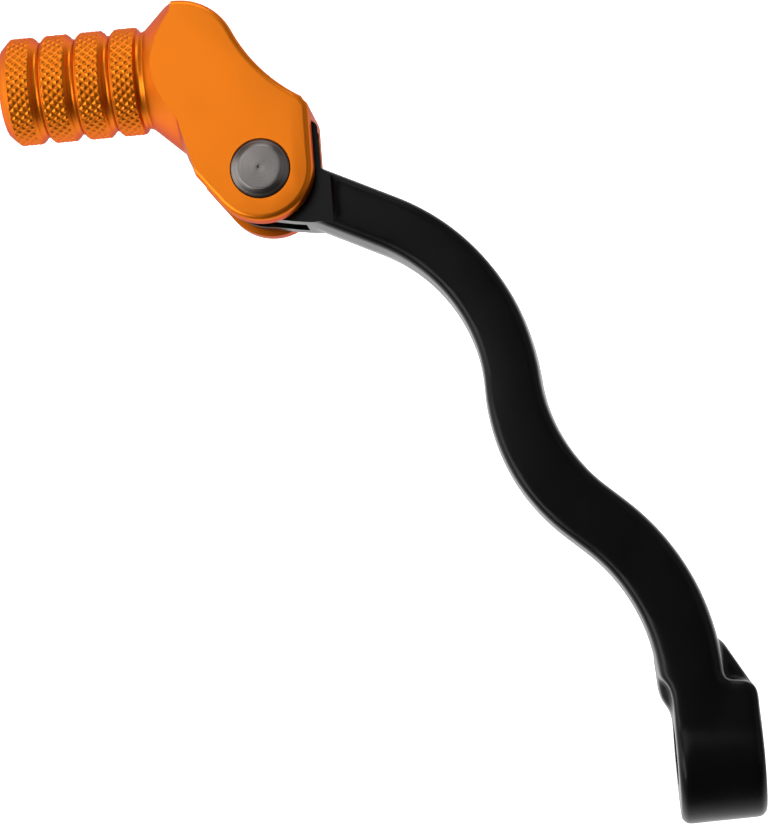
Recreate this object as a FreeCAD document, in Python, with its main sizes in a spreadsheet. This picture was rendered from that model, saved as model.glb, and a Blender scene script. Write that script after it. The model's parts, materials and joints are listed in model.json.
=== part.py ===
import FreeCAD, Part
import math
import os

import Sketcher
from FreeCAD import Placement, Rotation, Vector

# Motorcycle gear shift lever with a folding tip.
# The frame: the origin is on the gearbox shaft's axis, at the middle of the clamp boss.
# +X runs forward to the tip, +Y outboard along the shaft, +Z up. Millimetres and degrees.

SIZES = {
    # Arm centreline, seen from above: straights joined by tangent bends
    "root_offset": 4.4,
    "root_run": 14.5,
    "first_bend_radius": 42.7,
    "first_bend_angle": 48.2,
    "first_run": 4.9,
    "second_bend_radius": 36.8,
    "second_bend_angle": 45.9,
    "second_run": 0.5,
    "third_bend_radius": 39.6,
    "third_bend_angle": 61.6,
    "tip_run": 26.8,
    # Arm section at the boss and at the fold pin
    "root_width": 13.3,
    "root_height": 13.6,
    "root_middle_height": 6.2,
    "tip_width": 11.3,
    "pin_middle_height": 11.4,
    "arm_corner": 2.2,
    # Clamp boss, its serrated bore, slit and bolt
    "boss_radius": 13.5,
    "boss_width": 17.1,
    "boss_rounding": 1.3,
    "boss_top_front": 13.9,
    "shaft_tip_radius": 6.0,
    "serration_depth": 0.65,
    "serration_angle": 60.0,
    "serration_count": 31,
    "shoulder_front": 16.5,
    "shoulder_back": 11.5,
    "jaw_front": 22.5,
    "jaw_bottom": 9.5,
    "jaw_top": 5.0,
    "jaw_outboard": 11.1,
    "jaw_taper": 0.6,
    "jaw_inboard": 2.4,
    "slit_width": 2.0,
    "slit_drop": 1.6,
    "slit_front": 26.0,
    "bolt_forward": 16.2,
    "bolt_outboard": 3.0,
    "bolt_radius": 3.0,
    "bolt_clearance": 0.3,
    "bolt_flange_radius": 6.2,
    "bolt_flange_thickness": 1.2,
    "bolt_hex_width": 10.0,
    "bolt_head_height": 5.2,
    "bolt_reach": 9.0,
    "bolt_hole_spare": 1.0,
    # Eye at the arm's outer end, a fork that holds the spring
    "eye_radius": 9.2,
    "eye_step": 13.35,
    "eye_step_depth": 1.3,
    "lug_side": 11.1,
    "lug_front": 9.85,
    "lug_depth": 5.1,
    "slot_height": 6.6,
    "slot_front_room": 0.5,
    "slot_back_room": 0.6,
    "cheek_side": 10.9,
    "cheek_run": 9.5,
    # Fold pin, bushes and seals
    "pin_radius": 4.0,
    "running_gap": 0.03,
    "fit_gap": 0.02,
    "bush_wall": 0.97,
    "bush_flange_radius": 6.3,
    "bush_flange": 0.7,
    "bush_flange_gap": 0.1,
    "bush_end_gap": 0.15,
    "seal_radius": 7.3,
    "seal_wire": 0.6,
    "seal_seat": 0.55,
    "pin_head_radius": 5.9,
    "pin_head_flat": 4.3,
    "pin_head_height": 3.3,
    "pin_head_chamfer": 1.0,
    "pin_head_seat": 2.2,
    "pin_head_gap": 0.15,
    "screw_radius": 2.5,
    "screw_reach": 10.0,
    "screw_head_radius": 4.8,
    "screw_hex_width": 3.0,
    "screw_hex_depth": 1.6,
    # Return spring
    "wire_radius": 0.8,
    "coil_room": 0.4,
    "coil_turns": 2.25,
    "coil_pitch": 1.85,
    "leg_hole_depth": 4.0,
    "leg_end_gap": 0.6,
    "leg_hole_gap": 0.15,
    # Shift tip: clevis plates and their outline about the pin
    "clevis_thickness": 24.0,
    "clevis_gap": 15.0,
    "clevis_round": 10.43,
    "clevis_rounding": 1.2,
    "side_angle": 37.5,
    "side_reach": 3.0,
    "waist_corner": 13.3,
    "waist_radius": 33.0,
    "shoulder_radius": 12.0,
    "shoulder_middle": 14.9,
    "clevis_front": 35.9,
    "web_radius": 15.8,
    "stop_depth": 3.4,
    "stop_gap": 0.05,
    # Peg
    "peg_forward": 22.74,
    "peg_rod_radius": 9.8,
    "peg_neck_radius": 10.27,
    "peg_band_radius": 11.0,
    "peg_band_start": 24.1,
    "peg_band_width": 5.0,
    "peg_band_pitch": 7.15,
    "peg_band_count": 4,
    "peg_band_chamfer": 0.45,
    "peg_end_chamfer": 1.7,
    "cone_start": 22.4,
    "cone_angle": 43.2,
    "flare_radius": 16.2,
    "flare_angle": 71.0,
}

THROUGH = 60.0
FULL_TURN = 360.0
TOUCHING = 0.01

document = FreeCAD.newDocument("gear_shift_lever")
sheet = document.addObject("Spreadsheet::Sheet", "sizes")
for row, (alias, number) in enumerate(SIZES.items(), start=1):
    sheet.set(f"A{row}", alias)
    sheet.set(f"B{row}", str(number))
    sheet.setAlias(f"B{row}", alias)
document.recompute()


class Size:
    """A length or angle that carries both its number and the sheet formula that gives it."""

    def __init__(self, number, formula):
        self.number = number
        self.formula = formula

    def __add__(self, other):
        other = as_size(other)
        return Size(self.number + other.number, f"({self.formula} + {other.formula})")

    def __sub__(self, other):
        other = as_size(other)
        return Size(self.number - other.number, f"({self.formula} - {other.formula})")

    def __mul__(self, other):
        other = as_size(other)
        return Size(self.number * other.number, f"({self.formula} * {other.formula})")

    def __truediv__(self, other):
        other = as_size(other)
        return Size(self.number / other.number, f"({self.formula} / {other.formula})")

    def __neg__(self):
        return Size(-self.number, f"(-1 * {self.formula})")


def as_size(value):
    return value if isinstance(value, Size) else Size(float(value), repr(float(value)))


def size(alias):
    return Size(float(SIZES[alias]), f"sizes.{alias}")


def sine(angle):
    return Size(math.sin(math.radians(angle.number)), f"sin({angle.formula})")


def cosine(angle):
    return Size(math.cos(math.radians(angle.number)), f"cos({angle.formula})")


def tangent(angle):
    return Size(math.tan(math.radians(angle.number)), f"tan({angle.formula})")


def root(value):
    return Size(math.sqrt(value.number), f"sqrt({value.formula})")


ZERO = as_size(0)


# ---- Feature helpers -------------------------------------------------------------------

def new_body(label):
    body = document.addObject("PartDesign::Body", label)
    body.Label = label
    return body


def place(item, x, y, z, turn=None):
    item.Placement = Placement(Vector(x.number, y.number, z.number), turn or Rotation())
    for axis, value in zip("xyz", (x, y, z)):
        item.setExpression(f"Placement.Base.{axis}", value.formula)


def origin_part(body, role):
    return next(item for item in body.Origin.OriginFeatures if item.Role == role)


def bind(item, name, value):
    setattr(item, name, value.number)
    item.setExpression(name, value.formula)


def sketch_on(body, name, role, right=ZERO, up=ZERO, out=ZERO, turn=None):
    """A sketch on one of the body's own planes, moved within and off that plane."""
    sketch = body.newObject("Sketcher::SketchObject", name)
    sketch.AttachmentSupport = (origin_part(body, role), [""])
    sketch.MapMode = "FlatFace"
    place_in_plane = Vector(right.number, up.number, out.number)
    sketch.AttachmentOffset = Placement(place_in_plane, turn or Rotation())
    for axis, value in zip("xyz", (right, up, out)):
        sketch.setExpression(f"AttachmentOffset.Base.{axis}", value.formula)
    return sketch


def tie(sketch, kind, target, value):
    index = sketch.addConstraint(Sketcher.Constraint(kind, *target, value.number))
    sketch.setExpression(f"Constraints[{index}]", value.formula)


def tie_point(sketch, edge, end, x, y):
    tie(sketch, "DistanceX", (-1, 1, edge, end), x)
    tie(sketch, "DistanceY", (-1, 1, edge, end), y)


def add_circle(sketch, radius, x=ZERO, y=ZERO):
    centre = Vector(x.number, y.number, 0)
    edge = sketch.addGeometry(Part.Circle(centre, Vector(0, 0, 1), radius.number))
    tie(sketch, "Radius", (edge,), radius)
    tie_point(sketch, edge, 3, x, y)


def arc_between(start, end, radius, leftward):
    """The shorter arc from start to end; its centre is to the left of travel if leftward."""
    middle = (start + end) / 2
    chord = end - start
    rise = math.sqrt(radius ** 2 - (chord.Length / 2) ** 2)
    side = Vector(-chord.y, chord.x, 0).normalize() * (1 if leftward else -1)
    centre = middle + side * rise
    bulge = centre - side * radius
    return Part.Arc(start, bulge, end)


def add_path(sketch, steps, closed=True):
    """Joins points (x, y) or (x, y, bend): bend is the radius of the arc to the next point,
    positive when the arc turns left."""
    points = [Vector(step[0].number, step[1].number, 0) for step in steps]
    edges = []
    count = len(steps) if closed else len(steps) - 1
    for index in range(count):
        start = points[index]
        end = points[(index + 1) % len(points)]
        bend = steps[index][2] if len(steps[index]) == 3 else None
        if bend is None:
            edges.append((sketch.addGeometry(Part.LineSegment(start, end)), 1, 2))
            continue
        leftward = bend.number > 0
        arc = arc_between(start, end, abs(bend.number), leftward)
        edge = sketch.addGeometry(arc)
        first = sketch.getPoint(edge, 1)
        flipped = (first - start).Length > (first - end).Length
        edges.append((edge, 2, 1) if flipped else (edge, 1, 2))
        tie(sketch, "Radius", (edge,), bend if leftward else -bend)
    for index, (edge, start_end, far_end) in enumerate(edges):
        tie_point(sketch, edge, start_end, steps[index][0], steps[index][1])
        following = edges[(index + 1) % len(edges)]
        if closed or index + 1 < len(edges):
            joint = ("Coincident", edge, far_end, following[0], following[1])
            sketch.addConstraint(Sketcher.Constraint(*joint))
    if not closed:
        tie_point(sketch, edges[-1][0], edges[-1][2], steps[-1][0], steps[-1][1])


def add_rectangle(sketch, left, bottom, right, top):
    add_path(sketch, [(left, bottom), (right, bottom), (right, top), (left, top)])


def add_rounded_rectangle(sketch, width, height, corner):
    half_width = width / 2
    half_height = height / 2
    flat_x = half_width - corner
    flat_y = half_height - corner
    add_path(sketch, [
        (-flat_x, -half_height),
        (flat_x, -half_height, corner),
        (half_width, -flat_y),
        (half_width, flat_y, corner),
        (flat_x, half_height),
        (-flat_x, half_height, corner),
        (-half_width, flat_y),
        (-half_width, -flat_y, corner),
    ])


def add_hexagon(sketch, width):
    """A regular hexagon about the sketch's own centre, given across its flats."""
    corner = width / 2 / cosine(as_size(30))
    steps = []
    for number in range(6):
        angle = as_size(60 * number)
        steps.append((corner * cosine(angle), corner * sine(angle)))
    add_path(sketch, steps)


def extrude(body, sketch, kind, length, symmetric=False, reverse=False):
    feature = body.newObject(f"PartDesign::{kind}", f"{sketch.Name}_{kind.lower()}")
    feature.Profile = (sketch, [""])
    feature.Midplane = symmetric
    feature.Reversed = reverse
    bind(feature, "Length", length)
    document.recompute()
    return feature


def turned(body, sketch, kind="Revolution"):
    feature = body.newObject(f"PartDesign::{kind}", f"{sketch.Name}_{kind.lower()}")
    feature.Profile = (sketch, [""])
    feature.ReferenceAxis = (sketch, ["V_Axis"])
    feature.Angle = FULL_TURN
    document.recompute()
    return feature


def dress(body, base, kind, amount, wanted):
    """Rounds or chamfers the edges of the base feature that wanted() picks."""
    names = [f"Edge{n}" for n, edge in enumerate(base.Shape.Edges, start=1) if wanted(edge)]
    feature = body.newObject(f"PartDesign::{kind}", f"{base.Name}_{kind.lower()}")
    feature.Base = (base, names)
    bind(feature, "Radius" if kind == "Fillet" else "Size", amount)
    document.recompute()
    return feature


def pattern(body, feature, kind, axis, span_name, span, count):
    repeat = body.newObject(f"PartDesign::{kind}", f"{feature.Name}_{kind.lower()}")
    repeat.Originals = [feature]
    setattr(repeat, "Axis" if kind == "PolarPattern" else "Direction", (axis, [""]))
    bind(repeat, span_name, span)
    repeat.Occurrences = int(count.number)
    repeat.setExpression("Occurrences", count.formula)
    body.Tip = repeat
    document.recompute()
    return repeat


# ---- Places worked out from the sizes ---------------------------------------------------

# Ends of each straight and bend of the arm's centreline, from the boss to the fold pin
first_heading = size("first_bend_angle")
second_heading = first_heading - size("second_bend_angle")
third_heading = second_heading + size("third_bend_angle")


def run_end(x, y, length, heading):
    return x + length * cosine(heading), y + length * sine(heading)


def left_bend_end(x, y, radius, before, after):
    return (x + radius * (sine(after) - sine(before)),
            y + radius * (cosine(before) - cosine(after)))


root_end = (size("root_run"), size("root_offset"))
bend_one = left_bend_end(*root_end, size("first_bend_radius"), ZERO, first_heading)
run_one = run_end(*bend_one, size("first_run"), first_heading)
bend_two = left_bend_end(*run_one, -size("second_bend_radius"), first_heading, second_heading)
run_two = run_end(*bend_two, size("second_run"), second_heading)
bend_three = left_bend_end(*run_two, size("third_bend_radius"), second_heading, third_heading)
pin_x, pin_y = run_end(*bend_three, size("tip_run"), third_heading)
pin_z = size("pin_middle_height")

plate_inside = size("clevis_gap") / 2
plate_outside = size("clevis_thickness") / 2
eye_half = plate_inside - size("bush_flange") - size("bush_flange_gap")
tip_height = (eye_half + size("eye_step_depth")) * 2
bush_bore = size("pin_radius") + size("running_gap")
bush_outside = bush_bore + size("bush_wall")
coil_radius = bush_outside + size("coil_room") + size("wire_radius")
coil_outside = coil_radius + size("wire_radius")
slot_back = coil_outside + size("slot_back_room")
bolt_hole_radius = size("bolt_radius") + size("bolt_clearance")
coil_rise = size("coil_pitch") * size("coil_turns")
leg_hole_radius = size("wire_radius") + size("leg_hole_gap")


# ---- Lever arm --------------------------------------------------------------------------

def add_boss(body):
    """The barrel that clamps the shaft, with its rim rounded."""
    sketch = sketch_on(body, "boss", "XZ_Plane")
    add_circle(sketch, size("boss_radius"))
    barrel = extrude(body, sketch, "Pad", size("boss_width"), symmetric=True)
    dress(body, barrel, "Fillet", size("boss_rounding"), lambda edge: edge.Closed)


def add_beam(body):
    """The bent beam: a rounded section that grows taller and narrower towards the pin."""
    path = sketch_on(body, "centreline", "XY_Plane")
    add_path(path, [
        (ZERO, size("root_offset")),
        (*root_end, size("first_bend_radius")),
        bend_one,
        (*run_one, -size("second_bend_radius")),
        bend_two,
        (*run_two, size("third_bend_radius")),
        bend_three,
        (pin_x, pin_y),
    ], closed=False)
    near = sketch_on(body, "root_section", "YZ_Plane",
                     right=size("root_offset"), up=size("root_middle_height"))
    add_rounded_rectangle(near, size("root_width"), size("root_height"), size("arm_corner"))
    to_heading = Rotation(Vector(0, 1, 0), third_heading.number)
    far = sketch_on(body, "tip_section", "YZ_Plane", right=pin_y, up=pin_z, out=pin_x,
                    turn=to_heading)
    far.setExpression("AttachmentOffset.Rotation.Angle", third_heading.formula)
    add_rounded_rectangle(far, size("tip_width"), tip_height, size("arm_corner"))
    document.recompute()
    beam = body.newObject("PartDesign::AdditivePipe", "beam")
    beam.Profile = (near, [""])
    beam.Spine = (path, [f"Edge{n}" for n in range(1, 8)])
    beam.Transformation = "Multisection"
    beam.Sections = [(far, [""])]
    document.recompute()


def add_boss_top(body):
    """Fills the boss level with the beam's top, as far as the step down to the clamp lug."""
    half = size("boss_width") / 2
    sketch = sketch_on(body, "boss_top", "XY_Plane")
    add_rectangle(sketch, ZERO, -half, size("boss_top_front"), size("root_offset"))
    extrude(body, sketch, "Pad", size("root_middle_height") + size("root_height") / 2)


def cut_shoulder(body):
    """Narrows the beam to the barrel's outboard face, with a slanted shoulder."""
    half = size("boss_width") / 2
    wide = size("root_width")
    sketch = sketch_on(body, "shoulder", "XY_Plane")
    add_path(sketch, [
        (-wide, half),
        (size("shoulder_back"), half),
        (size("shoulder_front"), size("root_width")),
        (-wide, size("root_width")),
    ])
    extrude(body, sketch, "Pocket", as_size(THROUGH), symmetric=True)


def add_jaw(body):
    """The clamp lug under the beam, which the pinch bolt draws up."""
    half = size("boss_width") / 2
    inboard = size("jaw_inboard")
    sketch = sketch_on(body, "jaw", "XY_Plane", out=-size("jaw_bottom"))
    add_path(sketch, [
        (ZERO, -half),
        (size("shoulder_back"), -half),
        (size("jaw_front"), -inboard),
        (size("jaw_front"), size("jaw_outboard")),
        (size("shoulder_back"), size("jaw_outboard") - size("jaw_taper")),
        (half, half),
        (ZERO, half),
    ])
    extrude(body, sketch, "Pad", size("jaw_bottom") + size("jaw_top"))


def cut_clamp(body):
    """The serrated bore, the slit in front of it and the holes for the pinch bolt."""
    bore = sketch_on(body, "bore", "XZ_Plane")
    add_circle(bore, size("shaft_tip_radius"))
    extrude(body, bore, "Pocket", as_size(THROUGH), symmetric=True)
    groove = sketch_on(body, "serration", "XZ_Plane")
    half_angle = size("serration_angle") / 2
    inside = size("shaft_tip_radius") - size("serration_depth")
    root_radius = size("shaft_tip_radius") + size("serration_depth")
    reach = size("serration_depth") * 2 * tangent(half_angle)
    add_path(groove, [(inside, -reach), (root_radius, ZERO), (inside, reach)])
    tooth = extrude(body, groove, "Pocket", as_size(THROUGH), symmetric=True)
    pattern(body, tooth, "PolarPattern", origin_part(body, "Y_Axis"),
            "Angle", as_size(FULL_TURN), size("serration_count"))
    slit = sketch_on(body, "slit", "XZ_Plane")
    slit_half = size("slit_width") / 2
    add_rectangle(slit, ZERO, -size("slit_drop") - slit_half,
                  size("slit_front"), slit_half - size("slit_drop"))
    extrude(body, slit, "Pocket", as_size(THROUGH), symmetric=True)
    clearance = sketch_on(body, "bolt_clearance_hole", "XY_Plane", out=-size("slit_drop"))
    add_circle(clearance, bolt_hole_radius, size("bolt_forward"), size("bolt_outboard"))
    extrude(body, clearance, "Pocket", as_size(THROUGH))
    thread = sketch_on(body, "bolt_thread_hole", "XY_Plane", out=-size("slit_drop"))
    add_circle(thread, size("bolt_radius"), size("bolt_forward"), size("bolt_outboard"))
    depth = size("slit_drop") + size("bolt_reach") + size("bolt_hole_spare")
    extrude(body, thread, "Pocket", depth, reverse=True)


def add_eye(body):
    """The round eye about the fold pin, with the lug that the tip's stop rests on."""
    eye = sketch_on(body, "eye", "XY_Plane", right=pin_x, up=pin_y, out=pin_z)
    add_circle(eye, size("eye_radius"))
    extrude(body, eye, "Pad", eye_half * 2, symmetric=True)
    lug = sketch_on(body, "stop_lug", "XY_Plane", right=pin_x, up=pin_y, out=pin_z)
    side = -size("lug_side")
    inner = side + size("lug_depth")
    half_eye = size("eye_radius") / 2
    add_path(lug, [
        (-half_eye, side),
        (size("lug_front"), side),
        (size("lug_front"), inner),
        (half_eye, ZERO),
        (-half_eye, ZERO),
    ])
    extrude(body, lug, "Pad", eye_half * 2, symmetric=True)
    cheek = sketch_on(body, "cheek", "XY_Plane", right=pin_x, up=pin_y, out=pin_z)
    add_path(cheek, [
        (ZERO, ZERO),
        (-size("eye_radius"), ZERO),
        (-size("cheek_side"), -size("cheek_run")),
        (ZERO, -size("cheek_run")),
    ])
    extrude(body, cheek, "Pad", eye_half * 2, symmetric=True)
    reach = size("web_radius") + size("eye_radius")
    for name, out, reverse in (("upper_face", pin_z + eye_half, True),
                               ("lower_face", pin_z - eye_half, False)):
        face = sketch_on(body, name, "XY_Plane", right=pin_x, up=pin_y, out=out)
        add_rectangle(face, -reach, -size("eye_step"), reach, reach)
        extrude(body, face, "Pocket", tip_height, reverse=reverse)


def cut_fork(body):
    """The spring slot, the bush bores, the seal grooves and the hole for the spring's leg."""
    slot = sketch_on(body, "spring_slot", "XY_Plane", right=pin_x, up=pin_y, out=pin_z)
    reach = size("eye_radius") * 2
    add_rectangle(slot, -reach, -slot_back, coil_outside + size("slot_front_room"), reach)
    extrude(body, slot, "Pocket", size("slot_height"), symmetric=True)
    bush = sketch_on(body, "bush_bore", "XY_Plane", right=pin_x, up=pin_y, out=pin_z)
    add_circle(bush, bush_outside)
    extrude(body, bush, "Pocket", eye_half * 4, symmetric=True)
    seat = size("seal_wire") + size("fit_gap")
    for name, out, reverse in (("upper_seal_seat", pin_z + eye_half, False),
                               ("lower_seal_seat", pin_z - eye_half, True)):
        ring = sketch_on(body, name, "XY_Plane", right=pin_x, up=pin_y, out=out)
        add_circle(ring, size("seal_radius") + seat)
        add_circle(ring, size("seal_radius") - seat)
        extrude(body, ring, "Pocket", size("seal_seat"), reverse=reverse)
    leg = sketch_on(body, "leg_hole", "XZ_Plane", right=pin_x, up=pin_z,
                    out=slot_back - pin_y)
    add_circle(leg, leg_hole_radius, -coil_radius, -coil_rise / 2)
    extrude(body, leg, "Pocket", size("leg_hole_depth"), reverse=True)


def make_lever_arm():
    body = new_body("lever_arm")
    add_boss(body)
    add_beam(body)
    add_boss_top(body)
    cut_shoulder(body)
    add_jaw(body)
    cut_clamp(body)
    add_eye(body)
    cut_fork(body)
    return body


# ---- Bushes, seals and spring -----------------------------------------------------------

def make_bush(label, turn):
    """A flanged plain bush, pressed into one side of the fork."""
    body = new_body(label)
    sketch = sketch_on(body, f"{label}_profile", "XZ_Plane")
    flange = size("bush_flange_radius")
    top = eye_half + size("bush_flange")
    add_path(sketch, [
        (bush_bore, size("bush_end_gap")),
        (bush_outside, size("bush_end_gap")),
        (bush_outside, eye_half),
        (flange, eye_half),
        (flange, top),
        (bush_bore, top),
    ])
    turned(body, sketch)
    place(body, pin_x, pin_y, pin_z, turn)
    return body


def make_seal(label, height):
    """A rubber ring that keeps dirt out of the bush."""
    ring = document.addObject("Part::Torus", label)
    ring.Label = label
    bind(ring, "Radius1", size("seal_radius"))
    bind(ring, "Radius2", size("seal_wire"))
    place(ring, pin_x, pin_y, height)
    return ring


def make_return_spring():
    """A torsion spring: one leg in the arm, the other in the tip's web."""
    body = new_body("return_spring")
    start = sketch_on(body, "wire_start", "XZ_Plane")
    add_circle(start, size("wire_radius"), -coil_radius, -coil_rise / 2)
    coil = body.newObject("PartDesign::AdditiveHelix", "coil")
    coil.Profile = (start, [""])
    coil.ReferenceAxis = (start, ["V_Axis"])
    coil.Mode = "pitch-turns-angle"
    coil.LeftHanded = True
    bind(coil, "Pitch", size("coil_pitch"))
    bind(coil, "Turns", size("coil_turns"))
    document.recompute()
    arm_leg = sketch_on(body, "arm_leg", "XZ_Plane")
    add_circle(arm_leg, size("wire_radius"), -coil_radius, -coil_rise / 2)
    arm_reach = slot_back + size("leg_hole_depth") - size("leg_end_gap")
    extrude(body, arm_leg, "Pad", arm_reach)
    tip_leg = sketch_on(body, "tip_leg", "YZ_Plane")
    add_circle(tip_leg, size("wire_radius"), coil_radius, coil_rise / 2)
    web = root(size("web_radius") * size("web_radius") - coil_radius * coil_radius)
    extrude(body, tip_leg, "Pad", web + size("leg_hole_depth") - size("leg_end_gap"))
    place(body, pin_x, pin_y, pin_z)
    return body


# ---- Fold pin and its screw -------------------------------------------------------------

def make_pivot_pin():
    """A shouldered pin with a chamfered head, threaded from below."""
    body = new_body("pivot_pin")
    sketch = sketch_on(body, "pin_profile", "XZ_Plane")
    bottom = -plate_inside
    seat = plate_outside - size("pin_head_seat")
    top = seat + size("pin_head_height")
    thread_end = bottom + size("screw_reach")
    add_path(sketch, [
        (size("screw_radius"), bottom),
        (size("pin_radius"), bottom),
        (size("pin_radius"), seat),
        (size("pin_head_radius"), seat),
        (size("pin_head_radius"), top - size("pin_head_chamfer")),
        (size("pin_head_flat"), top),
        (ZERO, top),
        (ZERO, thread_end + size("screw_radius")),
        (size("screw_radius"), thread_end),
    ])
    turned(body, sketch)
    place(body, pin_x, pin_y, pin_z)
    return body


def make_pin_screw():
    """The countersunk screw that draws the lower plate against the pin's end."""
    body = new_body("pin_screw")
    sketch = sketch_on(body, "screw_profile", "XZ_Plane")
    face = -plate_outside
    neck = face + size("screw_head_radius") - size("screw_radius")
    end = size("screw_reach") - plate_inside - size("leg_end_gap")
    add_path(sketch, [
        (ZERO, face),
        (size("screw_head_radius"), face),
        (size("screw_radius"), neck),
        (size("screw_radius"), end),
        (ZERO, end),
    ])
    turned(body, sketch)
    socket = sketch_on(body, "screw_socket", "XY_Plane", out=face)
    add_hexagon(socket, size("screw_hex_width"))
    extrude(body, socket, "Pocket", size("screw_hex_depth"), reverse=True)
    place(body, pin_x, pin_y, pin_z)
    return body


def make_clamp_bolt():
    """The flanged hexagon bolt that pinches the boss on the shaft, fitted from below."""
    body = new_body("clamp_bolt")
    sketch = sketch_on(body, "bolt_profile", "XZ_Plane")
    flange = size("bolt_flange_thickness")
    add_path(sketch, [
        (ZERO, -flange),
        (size("bolt_flange_radius"), -flange),
        (size("bolt_flange_radius"), ZERO),
        (size("bolt_radius"), ZERO),
        (size("bolt_radius"), size("jaw_bottom") + size("bolt_reach")),
        (ZERO, size("jaw_bottom") + size("bolt_reach")),
    ])
    turned(body, sketch)
    head = sketch_on(body, "bolt_head", "XY_Plane")
    add_hexagon(head, size("bolt_hex_width"))
    extrude(body, head, "Pad", size("bolt_head_height") + flange, reverse=True)
    place(body, size("bolt_forward"), size("bolt_outboard"), -size("jaw_bottom"))
    return body


# ---- Shift tip --------------------------------------------------------------------------

def add_clevis(body):
    """The block that the plates are cut from, with its outline about the pin."""
    around = size("clevis_round")
    angle = size("side_angle")
    touch = (-around * sine(angle), around * cosine(angle))
    side_y = touch[1] + (size("side_reach") - touch[0]) * tangent(angle)
    shoulder = size("shoulder_radius")
    shoulder_x = size("clevis_front") - shoulder
    shoulder_y = size("shoulder_middle")
    # The waist's centre is at one radius from the corner and touches the shoulder's arc
    across = shoulder_x - size("waist_corner")
    rise = shoulder_y + around
    apart = root(across * across + rise * rise)
    near = size("waist_radius")
    far = size("waist_radius") + shoulder
    along = (near * near - far * far + apart * apart) / (apart * 2)
    off = root(near * near - along * along)
    waist_x = size("waist_corner") + (across * along + rise * off) / apart
    waist_y = -around + (rise * along - across * off) / apart
    meet_x = shoulder_x + (waist_x - shoulder_x) * shoulder / far
    meet_y = shoulder_y + (waist_y - shoulder_y) * shoulder / far
    sketch = sketch_on(body, "clevis", "XY_Plane")
    add_path(sketch, [
        (*touch, around),
        (ZERO, -around),
        (size("waist_corner"), -around, -near),
        (meet_x, meet_y, shoulder),
        (size("clevis_front"), shoulder_y),
        (size("clevis_front"), size("peg_band_start")),
        (size("side_reach"), size("peg_band_start")),
        (size("side_reach"), side_y),
    ])
    block = extrude(body, sketch, "Pad", size("clevis_thickness"), symmetric=True)
    reach = size("peg_band_start").number

    def on_rim(edge):
        flat = all(abs(abs(v.Z) - plate_outside.number) < TOUCHING for v in edge.Vertexes)
        return flat and any(v.Y < reach - TOUCHING for v in edge.Vertexes)

    dress(body, block, "Fillet", size("clevis_rounding"), on_rim)


def cut_cone(body):
    """Turns the block's outboard end: a steep cone to the peg's neck, a flat one behind it."""
    sketch = sketch_on(body, "cone", "XY_Plane", right=size("peg_forward"))
    wide = size("clevis_front")
    flare = size("flare_radius")
    flare_y = size("cone_start") - (flare - size("peg_neck_radius")) / tangent(size("cone_angle"))
    wide_y = flare_y - (wide - flare) / tangent(size("flare_angle"))
    add_path(sketch, [
        (size("peg_neck_radius"), size("cone_start")),
        (flare, flare_y),
        (wide, wide_y),
        (wide, size("peg_band_start") * 2),
        (size("peg_neck_radius"), size("peg_band_start") * 2),
    ])
    turned(body, sketch, "Groove")


def cut_gap(body):
    """Opens the gap between the plates, round the arm's eye, down to the web and its stop."""
    half = size("web_radius")
    stop_x = size("lug_front") + size("stop_gap")
    stop_y = -size("clevis_round") + size("stop_depth")
    corner_x = root(half * half - stop_y * stop_y)
    sketch = sketch_on(body, "gap", "XY_Plane")
    add_path(sketch, [
        (stop_x, stop_y),
        (corner_x, stop_y, half),
        (ZERO, half, half),
        (-half, ZERO),
        (-half, -half),
        (stop_x, -half),
    ])
    extrude(body, sketch, "Pocket", size("clevis_gap"), symmetric=True)


def cut_pin_holes(body):
    """The head's seat in the upper plate, the countersink below and the spring's leg hole."""
    upper = sketch_on(body, "upper_pin_hole", "XZ_Plane")
    shank = size("pin_radius") + size("fit_gap")
    head = size("pin_head_radius") + size("pin_head_gap")
    seat = plate_outside - size("pin_head_seat")
    above = plate_outside + size("pin_head_height")
    add_path(upper, [
        (ZERO, ZERO),
        (shank, ZERO),
        (shank, seat),
        (head, seat),
        (head, above),
        (ZERO, above),
    ])
    turned(body, upper, "Groove")
    lower = sketch_on(body, "lower_pin_hole", "XZ_Plane")
    screw = size("screw_radius") + size("fit_gap")
    rim = size("screw_head_radius") + size("fit_gap")
    add_path(lower, [
        (ZERO, ZERO),
        (screw, ZERO),
        (screw, rim - screw - plate_outside),
        (rim, -plate_outside),
        (rim, -above),
        (ZERO, -above),
    ])
    turned(body, lower, "Groove")
    leg = sketch_on(body, "tip_leg_hole", "YZ_Plane")
    add_circle(leg, leg_hole_radius, coil_radius, coil_rise / 2)
    web = root(size("web_radius") * size("web_radius") - coil_radius * coil_radius)
    extrude(body, leg, "Pocket", web + size("leg_hole_depth"), reverse=True)


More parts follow.
